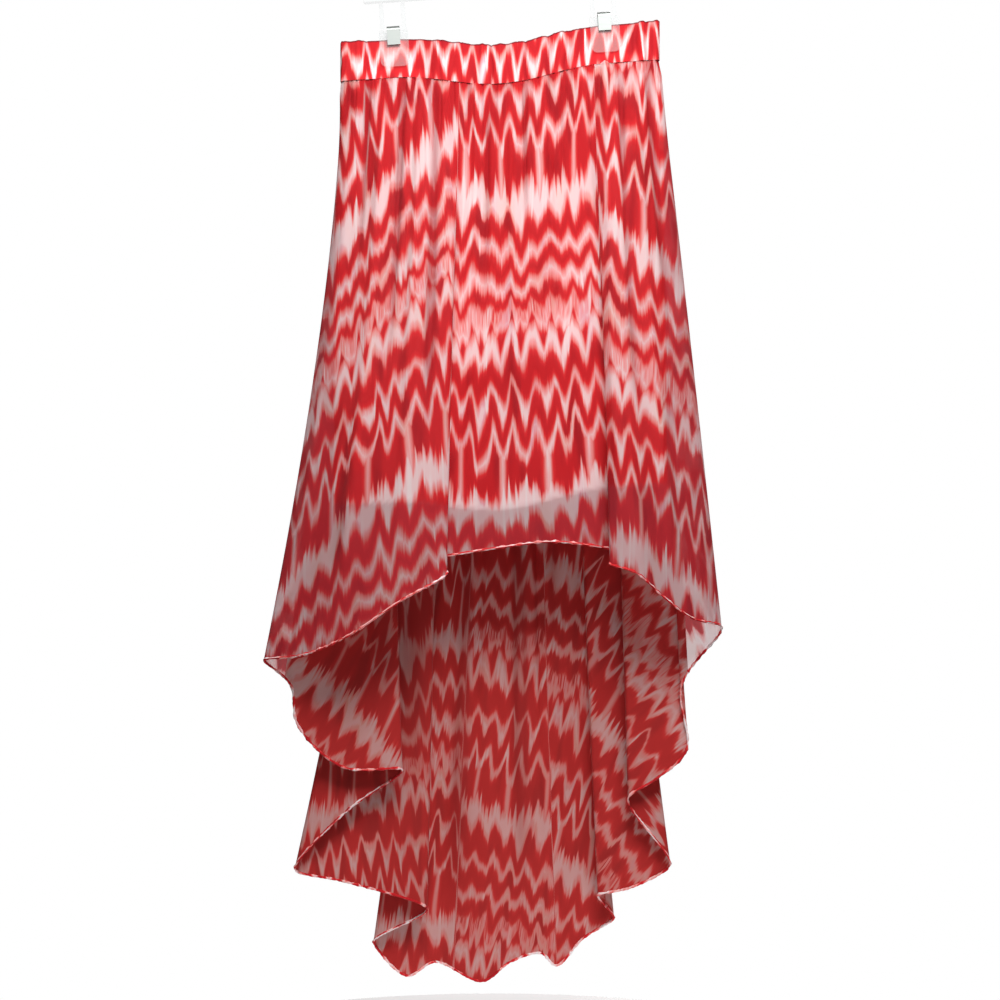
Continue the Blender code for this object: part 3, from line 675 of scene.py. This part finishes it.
def ikat(graph, across, down):
    """The flame-stitch print, as how far inside its dye each place is, with the threads' unevenness."""
    wide = graph.combine(graph.math("MULTIPLY", across, 24.0), graph.math("MULTIPLY", down, 7.0))
    drift = graph.math("SUBTRACT", graph.noise(wide, 1.0, 1.0), 0.5)
    across = graph.math("MULTIPLY_ADD", drift, 0.020, across)
    thread_at = graph.combine(graph.math("MULTIPLY", across, 520.0), graph.math("MULTIPLY", down, 9.0), 3.0)
    thread = graph.math("SUBTRACT", graph.noise(thread_at, 1.0, 2.0, 0.6), 0.5)
    streak_at = graph.combine(graph.math("MULTIPLY", across, 190.0), graph.math("MULTIPLY", down, 5.0), 9.0)
    streak = graph.math("SUBTRACT", graph.noise(streak_at, 1.0, 1.5), 0.5)
    sway_at = graph.combine(graph.math("MULTIPLY", across, 48.0), graph.math("MULTIPLY", down, 8.0), 7.0)
    sway = graph.math("SUBTRACT", graph.noise(sway_at, 1.0, 1.0), 0.5)
    slow_at = graph.combine(graph.math("MULTIPLY", across, 15.0), graph.math("MULTIPLY", down, 6.0), 21.0)
    slow = graph.math("SUBTRACT", graph.noise(slow_at, 1.0, 1.0), 0.5)
    place = graph.math("SUBTRACT", down, TALL_ZIGZAG_BELOW_SEAM)
    place = graph.math("MULTIPLY_ADD", thread, 0.010, place)
    place = graph.math("MULTIPLY_ADD", streak, 0.016, place)
    place = graph.math("MULTIPLY_ADD", sway, 0.046, place)
    place = graph.math("MULTIPLY_ADD", slow, 0.036, place)
    wave = graph.math("FRACT", graph.math("MULTIPLY", across, 2.0 / PRINT_BLOCK))
    tooth = graph.math("ABSOLUTE", graph.math("MULTIPLY_ADD", wave, 2.0, -1.0))
    round_tooth = graph.smooth(tooth, 0.0, 1.0)
    tooth = graph.math("ADD", graph.math("MULTIPLY", tooth, 1.0 - ROUND_TEETH), graph.math("MULTIPLY", round_tooth, ROUND_TEETH))
    depth = block_depth(graph, place, across, tooth, streak)
    for zigzag in ZIGZAGS:
        depth = graph.math("MAXIMUM", depth, zigzag_depth(graph, place, tooth, zigzag))
    within = graph.math("WRAP", place, DASHES_FROM + 0.5 * PRINT_REPEAT, DASHES_FROM - 0.5 * PRINT_REPEAT)
    dash = graph.math("SUBTRACT", thread, DASH_SHARE)
    dash = graph.math("MULTIPLY", dash, 0.03)
    window = graph.math("MINIMUM", graph.math("SUBTRACT", within, DASHES_FROM), graph.math("SUBTRACT", DASHES_TO, within))
    depth = graph.math("MAXIMUM", depth, graph.math("MINIMUM", dash, window))
    weight = graph.math("ADD", graph.math("MULTIPLY", slow, 0.010), graph.math("MULTIPLY", streak, 0.006))
    depth = graph.math("ADD", depth, weight)
    return depth, streak, sway


def make_chiffon(name, sheer, let_through, fold_shade_at=None, shade_below_slip=False, painted_shade=0.0, dye_grow=0.0):
    """Printed crinkled chiffon. sheer is its cover where it is pale and where it is dyed, fold_shade_at
    is where on the flat cloth a painted shade line runs along the gathered top fold, shade_below_slip
    paints shade where no slip lies behind, painted_shade is the share of brown that it is darkened by
    as painted shade, and dye_grow is how far its dyed shapes are widened, in metres, to darken it."""
    graph = Graph(name)
    across, down = graph.cloth()
    depth, streak, sway = ikat(graph, across, down)
    # Dyed shapes widened, which darkens the back along with its painted shade
    depth = graph.math("ADD", depth, dye_grow)
    colour = graph.ramp(depth, DYE)
    pale = graph.smooth(graph.math("MULTIPLY", depth, -1.0), 0.001, 0.009)
    cloud_at = graph.combine(graph.math("MULTIPLY", across, 38.0), graph.math("MULTIPLY", down, 11.0), 1.0)
    cloud = graph.noise(cloud_at, 1.0, 2.0)
    peach = graph.math("MULTIPLY", graph.smooth(cloud, 0.50, 0.72), pale)
    colour = graph.mix(graph.math("MULTIPLY", peach, 0.55), colour, PEACH)
    mauve_at = graph.combine(graph.math("MULTIPLY", across, 60.0), graph.math("MULTIPLY", down, 9.0), 12.0)
    mauve = graph.math("MULTIPLY", graph.smooth(graph.noise(mauve_at, 1.0, 2.0), 0.54, 0.74), pale)
    colour = graph.mix(graph.math("MULTIPLY", mauve, 0.45), colour, MAUVE)
    white = graph.math("MULTIPLY", graph.smooth(graph.math("ADD", cloud, streak), 0.44, 0.22), pale)
    colour = graph.mix(white, colour, WHITE)
    core = graph.smooth(graph.math("MULTIPLY_ADD", streak, 0.012, graph.math("MULTIPLY", depth, -1.0)), *WHITE_CORE)
    colour = graph.mix(graph.math("MULTIPLY", core, 0.6), colour, WHITE)
    dyed = graph.smooth(depth, -0.003, 0.002)
    deep = graph.math("MULTIPLY", graph.smooth(graph.math("ADD", cloud, sway), 0.50, 0.80), dyed)
    colour = graph.mix(graph.math("MULTIPLY", deep, 0.75), colour, DEEP_RED)
    # Painted shade in the creases' troughs and the gathers' hollows, darkening towards the deep red
    trough = graph.attribute("trough")
    colour = graph.mix(graph.math("MULTIPLY", trough, 0.62), colour, DEEP_RED)
    # Painted shade along the band's top fold
    if fold_shade_at is not None:
        edge = graph.math("ABSOLUTE", graph.math("SUBTRACT", down, fold_shade_at))
        edge = graph.math("SUBTRACT", 1.0, graph.smooth(edge, 0.0006, 0.0026))
        colour = graph.mix(graph.math("MULTIPLY", edge, 0.85), colour, FOLD_SHADE_RED)
    # Painted shade below the slip's hem and beyond its sides, where the dark inside shows through; the cloth's real
    # see-through adds to it
    if shade_below_slip:
        unbacked_shade = graph.math("SUBTRACT", 1.0, graph.attribute("backed"))
        colour = graph.mix(graph.math("MULTIPLY", unbacked_shade, NO_SLIP_SHADE), colour, NO_SLIP_SHADE_RED)
    # Painted shade: the back made duller and browner, standing for the shade inside the skirt
    if painted_shade > 0.0:
        colour = graph.mix(graph.math("MULTIPLY", pale, painted_shade), colour, SHADE_PEACH)
        colour = graph.mix(painted_shade, colour, SHADE_BROWN)
    graph.link(colour, graph.shader.inputs["Base Color"])
    if sheer[0] < 1.0:
        graph.link(graph.between(dyed, *sheer), graph.shader.inputs["Alpha"])
    crepe_at = graph.combine(graph.math("MULTIPLY", across, 1500.0), graph.math("MULTIPLY", down, 420.0), 5.0)
    crepe = graph.noise(crepe_at, 1.0, 3.0, 0.7)
    graph.bump(crepe, 0.30, 0.0005)
    graph.set(Roughness=0.78, Sheen_Weight=0.04, Sheen_Roughness=0.5)
    graph.shader.inputs["Specular IOR Level"].default_value = 0.18
    if let_through > 0.0:
        graph.let_light_through(colour, let_through)
    return graph.material


def make_slip_cloth():
    graph = Graph("slip_cloth_fine")
    across, down = graph.cloth()
    weave_at = graph.combine(graph.math("MULTIPLY", across, 1800.0), graph.math("MULTIPLY", down, 1800.0))
    weave = graph.noise(weave_at, 1.0, 2.0)
    cloud_at = graph.combine(graph.math("MULTIPLY", across, 14.0), graph.math("MULTIPLY", down, 6.0), 2.0)
    cloud = graph.noise(cloud_at, 1.0, 2.0)
    graph.link(graph.mix(cloud, (0.90, 0.74, 0.76), (0.97, 0.86, 0.86)), graph.shader.inputs["Base Color"])
    graph.bump(weave, 0.25, 0.0004)
    graph.set(Roughness=0.62, Sheen_Weight=0.10)
    return graph.material


def object_noise(graph, scale, stretch=(1.0, 1.0, 1.0), detail=3.0):
    """Noise that lies still on an object."""
    where = graph.tree.nodes.new("ShaderNodeTexCoord")
    move = graph.tree.nodes.new("ShaderNodeMapping")
    move.inputs["Scale"].default_value = stretch
    graph.link(where.outputs["Object"], move.inputs["Vector"])
    return graph.noise(move.outputs[0], scale, detail)


def make_clear_plastic():
    graph = Graph("clear_plastic_fine")
    flow = object_noise(graph, 60.0, (1.0, 1.0, 0.3))
    graph.link(graph.mix(flow, (0.62, 0.66, 0.66), (0.74, 0.77, 0.76)), graph.shader.inputs["Base Color"])
    graph.link(graph.math("MULTIPLY_ADD", flow, 0.16, 0.03), graph.shader.inputs["Roughness"])
    graph.bump(flow, 0.10, 0.0004)
    graph.set(IOR=1.49, Alpha=0.14)
    return graph.material


def make_steel(name, dark, light, roughness, stretch):
    graph = Graph(name)
    grain = object_noise(graph, 900.0, stretch, 4.0)
    graph.link(graph.mix(grain, dark, light), graph.shader.inputs["Base Color"])
    graph.link(graph.math("MULTIPLY_ADD", grain, 0.22, roughness), graph.shader.inputs["Roughness"])
    graph.bump(grain, 0.08, 0.0002)
    graph.set(Metallic=1.0)
    return graph.material


# Pieces

def crumple(points, share, fall, below):
    """The points moved out along the cloth's own normals by its creases, and a painted shade mark at each point, from
    0 to 1, darkest in the creases' troughs and the gathers' hollows.
    """
    height = crease_height(share, fall, below)
    height = np.maximum(height, -TROUGH_AT_SEAM - TROUGH_GROWS * below)
    gather = (1.0 - gather_wave(share)) * np.exp(-((below / GATHER_FADE) ** 2))
    # Painted shade mark: darkest in the creases' troughs and the gathers' hollows
    trough = np.clip(-height / CREASE_SHADE_DEPTH + 0.5 * gather, 0.0, 1.0)
    return points + grid_normals(points) * height[:, :, None], trough


def make_hem(name, points, cloth_x, cloth_y, material):
    """A narrow rolled hem along the last row of a panel, puckered a little along its length."""
    line = points[-1]
    count = len(line)
    along = np.gradient(line, axis=0)
    along /= np.linalg.norm(along, axis=1, keepdims=True)
    down = line - points[-4]
    down -= (down * along).sum(axis=1, keepdims=True) * along
    down /= np.linalg.norm(down, axis=1, keepdims=True)
    out = np.cross(along, down)
    way = np.concatenate([[0.0], np.cumsum(np.linalg.norm(np.diff(line, axis=0), axis=1))])
    dice = np.random.RandomState(count)
    pucker = sum(
        dice.uniform(0.08, 0.20) * np.sin(2.0 * math.pi * way / dice.uniform(0.005, 0.021) + dice.uniform(0.0, 6.3))
        for _ in range(5)
    )
    rings, flat_x, flat_y = [], [], []
    for step in range(HEM_SIDES + 1):
        angle = 2.0 * math.pi * step / HEM_SIDES
        reach = HEM_RADIUS * (1.0 + pucker)[:, None]
        side = math.cos(angle) * reach * HEM_FLATNESS
        rings.append(line + out * side + down * math.sin(angle) * reach + out * (0.3 * HEM_RADIUS * pucker)[:, None])
        flat_x.append(cloth_x[-1])
        flat_y.append(cloth_y[-1] + 2.0 * HEM_RADIUS * step)
    return add_mesh(name, np.array(rings), np.array(flat_x), np.array(flat_y), material)


def make_panel(name, first, last, rows, fullness, jumps, shift, material, hem_material):
    places = fine_places(first, last)
    points, share, fall, below = skirt_grid(places, rows)
    flat_x, flat_y = unrolled(points, share)
    cloth_x, cloth_y = unrolled(points, share, fullness, jumps)
    points, trough = crumple(points, share, fall, below)
    # The front's material paints shade where this mark is 0
    backed = slip_behind(points)
    piece = add_mesh(name, points, cloth_x, cloth_y + shift, material, trough=trough, backed=backed)
    hem = make_hem(f"{name}_hem", points, cloth_x, cloth_y + shift, hem_material)
    return piece, hem, float(np.ptp(flat_x)), float(np.ptp(flat_y))


def slip_behind(points):
    """1 where the slip lies behind the skirt's front, 0 below its hem and beyond its sides."""
    across = np.clip(points[:, :, 0] - GARMENT_CENTRE_X, -BAND_HALF_WIDTH, BAND_HALF_WIDTH)
    slip_hem = band_top(across) - BAND_HEIGHT - SEAM_GAP - LINING_LENGTH
    above = ease((points[:, :, 2] - slip_hem) / SLIP_EDGE)
    beyond = ease((np.abs(points[:, :, 0] - GARMENT_CENTRE_X) - LINING_HALF_WIDTH) / SLIP_EDGE + 1.0)
    return above * (1.0 - beyond)


def sheet_area(piece):
    return sum(face.area for face in piece.data.polygons)


def make_waistband(material):
    """The band's cloth, folded over its elastic: up the outside, over the top and down the inside."""
    share = np.arange(BAND_COLUMNS) / BAND_COLUMNS
    half = 0.5 * BAND_WALL
    levels = [(level, 1.0) for level in np.linspace(1.0, 0.04, 20)]
    levels += [(0.04 * (1.0 - math.sin(angle)), math.cos(angle)) for angle in np.linspace(0.2, math.pi - 0.2, 7)]
    levels += [(level, -1.0) for level in np.linspace(0.04, 1.0, 12)]
    dice = np.random.RandomState(5)
    pleats = [(dice.uniform(), dice.uniform(0.0010, 0.0026), dice.uniform(-0.0011, 0.0006)) for _ in range(170)]
    rows, down, troughs = [], [], []
    for level, side in levels:
        across, depth, out_x, out_y = waist_point(share, level)
        free = free_of_clips(across)
        wave = gather_wave(share)
        pleat = np.zeros(BAND_COLUMNS)
        for centre, width, height in pleats:
            gap = around(share - centre - 0.0015 * math.sin(7.0 * level + 30.0 * centre)) / width
            pleat = pleat + height * np.exp(-gap * gap)
        out = (BAND_GATHER_DEPTH * wave + pleat) * free + side * half
        nick = 0.5 * pleat * (1.0 - level) * free
        z = band_top(across) - level * BAND_HEIGHT + BAND_SCALLOP * (1.0 - level) * wave * free + nick
        rows.append(np.stack([across + out_x * out + GARMENT_CENTRE_X, depth + out_y * out, z], axis=1))
        down.append(level * BAND_HEIGHT * side)
        # Painted shade mark: darkest in the pleats' and gathers' hollows
        troughs.append(np.clip(-pleat * free / 0.0020 + 0.35 * (1.0 - wave) * free, 0.0, 1.0))
    points = np.array(rows)
    width = 4.0 * (BAND_HALF_WIDTH - BAND_END_RADIUS) + 2.0 * math.pi * BAND_END_RADIUS
    cloth_x = np.broadcast_to(share * width * GATHER_RATIO, points.shape[:2])
    down = np.array(down)[:, None] + BAND_PRINT_FROM + TALL_ZIGZAG_BELOW_SEAM
    cloth_y = np.broadcast_to(down, points.shape[:2])
    piece = add_mesh("waistband_cloth", points[::-1], cloth_x, cloth_y[::-1], material, closed=True,
                     trough=np.array(troughs)[::-1])
    return piece


def make_lining(material):
    share = np.arange(LINING_COLUMNS) / LINING_COLUMNS
    fall = (np.linspace(0.0, 1.0, LINING_ROWS + 1))[:, None]
    across, depth, out_x, out_y = waist_point(share, 1.0)
    top = band_top(across) - BAND_HEIGHT - SEAM_GAP
    across = across - out_x * LINING_INSET
    depth = depth - out_y * LINING_INSET
    facing = np.cos(2.0 * math.pi * share)
    middle_y = 0.5 * (LINING_FRONT_Y + LINING_BACK_Y)
    reach_y = 0.5 * (LINING_BACK_Y - LINING_FRONT_Y)
    bottom_x = across * LINING_HALF_WIDTH / BAND_HALF_WIDTH
    bottom_y = middle_y - reach_y * facing / np.maximum(LINING_SQUARE_TO, np.abs(facing)) ** LINING_ROUNDING
    ripple = 0.0011 * np.sin(2.0 * math.pi * 23.0 * share + 1.3 * np.sin(2.0 * math.pi * 3.0 * share)) * fall
    points = np.stack([
        across + (bottom_x - across) * fall + GARMENT_CENTRE_X + 0.0 * fall,
        depth + (bottom_y - depth) * ease(fall) + out_y * ripple,
        top - LINING_LENGTH * fall,
    ], axis=2)
    width = 4.0 * BAND_HALF_WIDTH
    flat_x = np.broadcast_to(share * width, points.shape[:2])
    flat_y = np.broadcast_to(fall * LINING_LENGTH, points.shape[:2])
    return add_mesh("lining_cloth", points, flat_x, flat_y, material, closed=True)


def repaint(node, material):
    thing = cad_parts[node]
    thing.data.materials.clear()
    thing.data.materials.append(material)


def make_stage():
    """A round pale floor just under the hem."""
    bpy.ops.mesh.primitive_circle_add(vertices=96, radius=FLOOR_RADIUS, fill_type="NGON", location=(0.0, 0.0, FLOOR_Z))
    floor = bpy.context.object
    floor.name = "floor"
    graph = Graph("floor_paint")
    grain = object_noise(graph, 3.0)
    graph.link(graph.mix(grain, (0.88, 0.88, 0.88), (0.93, 0.93, 0.93)), graph.shader.inputs["Base Color"])
    graph.set(Roughness=0.9)
    floor.data.materials.append(graph.material)


def add_light(name, place, target, size, power):
    data = bpy.data.lights.new(name, "AREA")
    data.shape = "DISK"
    data.size = size
    data.energy = power
    lamp = bpy.data.objects.new(name, data)
    lamp.visible_camera = False
    lamp.location = place
    lamp.rotation_euler = (Vector(target) - Vector(place)).to_track_quat("-Z", "Y").to_euler()
    bpy.context.scene.collection.objects.link(lamp)
    return data


def make_world():
    """A white studio: what is seen of it is white, and more of its light comes from above and in front."""
    world = bpy.data.worlds.new("studio")
    world.use_nodes = True
    tree = world.node_tree
    shade = tree.nodes["Background"]
    shade.inputs["Color"].default_value = (1.0, 1.0, 1.0, 1.0)
    where = tree.nodes.new("ShaderNodeTexCoord")
    lean = tree.nodes.new("ShaderNodeVectorMath")
    lean.operation = "DOT_PRODUCT"
    lean.inputs[1].default_value = STUDIO_LEAN
    tree.links.new(where.outputs["Generated"], lean.inputs[0])
    light = tree.nodes.new("ShaderNodeMapRange")
    light.inputs["From Min"].default_value = -1.0
    light.inputs["From Max"].default_value = 1.0
    light.inputs["To Min"].default_value = STUDIO_DARK
    light.inputs["To Max"].default_value = STUDIO_BRIGHT
    tree.links.new(lean.outputs["Value"], light.inputs["Value"])
    path = tree.nodes.new("ShaderNodeLightPath")
    seen = tree.nodes.new("ShaderNodeMix")
    tree.links.new(path.outputs["Is Camera Ray"], seen.inputs["Factor"])
    tree.links.new(light.outputs["Result"], seen.inputs[2])
    seen.inputs[3].default_value = 1.0
    tree.links.new(seen.outputs[0], shade.inputs["Strength"])
    bpy.context.scene.world = world


def make_light():
    make_world()
    key = add_light("key", (0.22, -1.4, 0.75), (VIEW_CENTRE[0], 0.0, -0.24), 0.9, KEY_POWER)
    key.spread = KEY_SPREAD
    add_light("back_fill", (0.8, 2.2, 0.9), (VIEW_CENTRE[0], 0.0, -0.6), 1.6, FILL_POWER)


def make_camera():
    data = bpy.data.cameras.new("camera")
    data.sensor_width = SENSOR
    data.lens = SENSOR * CAMERA_DISTANCE / VIEW_HEIGHT
    camera = bpy.data.objects.new("camera", data)
    camera.location = (VIEW_CENTRE[0], FRONT_Y - CAMERA_DISTANCE, VIEW_CENTRE[1])
    camera.rotation_euler = (math.radians(90.0), 0.0, 0.0)
    bpy.context.scene.collection.objects.link(camera)
    bpy.context.scene.camera = camera


def main():
    bpy.context.scene.view_settings.view_transform = "Standard"
    make_camera()
    make_light()
    make_stage()
    front_print_and_shade = make_chiffon("front_print_and_shade", FRONT_SHEER, FRONT_LET_THROUGH, shade_below_slip=True)
    back_print_and_shade = make_chiffon("back_print_and_shade", BACK_SHEER, BACK_LET_THROUGH, painted_shade=BACK_PAINTED_SHADE, dye_grow=BACK_DYE_GROW)
    # Where the band's painted top-fold shade runs on the flat cloth
    band_fold_shade_at = BAND_PRINT_FROM + TALL_ZIGZAG_BELOW_SEAM
    band_print_and_shade = make_chiffon("band_print_and_shade", (1.0, 1.0), 0.0, fold_shade_at=band_fold_shade_at)
    hem_print = make_chiffon("hem_print", (1.0, 1.0), 0.0)
    first, second = (place_of_share(share) for share in SIDE_SEAMS)
    front = make_panel("front_cloth", second, first + len(HEM_ROWS), FRONT_ROWS, FRONT_FULLNESS, FRONT_JUMPS,
                       0.0, front_print_and_shade, hem_print)
    back = make_panel("back_cloth", first, second, BACK_ROWS, BACK_FULLNESS, BACK_JUMPS,
                      BACK_PRINT_SHIFT, back_print_and_shade, hem_print)
    for (piece, hem, width, height), node in ((front, "skirt_front"), (back, "skirt_back")):
        for thing in (piece, hem):
            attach(thing, "root")
        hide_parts(node)
        print(f"{piece.name}: {width:.3f} by {height:.3f} m, area {sheet_area(piece):.3f}")
    band = make_waistband(band_print_and_shade)
    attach(band, "root")
    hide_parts("waistband")
    print(f"band area {sheet_area(band):.4f}")
    lining = make_lining(make_slip_cloth())
    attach(lining, "root")
    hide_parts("lining")
    print(f"lining area {sheet_area(lining):.4f}")
    plastic = make_clear_plastic()
    for node in ("hanger_bar", "clip_jaw_left", "clip_jaw_right"):
        repaint(node, plastic)
    strip = make_steel("spring_strip", (0.26, 0.28, 0.27), (0.40, 0.42, 0.40), 0.42, (0.05, 1.0, 1.0))
    for node in ("clip_spring_left", "clip_spring_right"):
        repaint(node, strip)
    repaint("hanger_hook", make_steel("hook_plate", (0.60, 0.60, 0.61), (0.80, 0.80, 0.81), 0.12, (1.0, 1.0, 1.0)))


main()
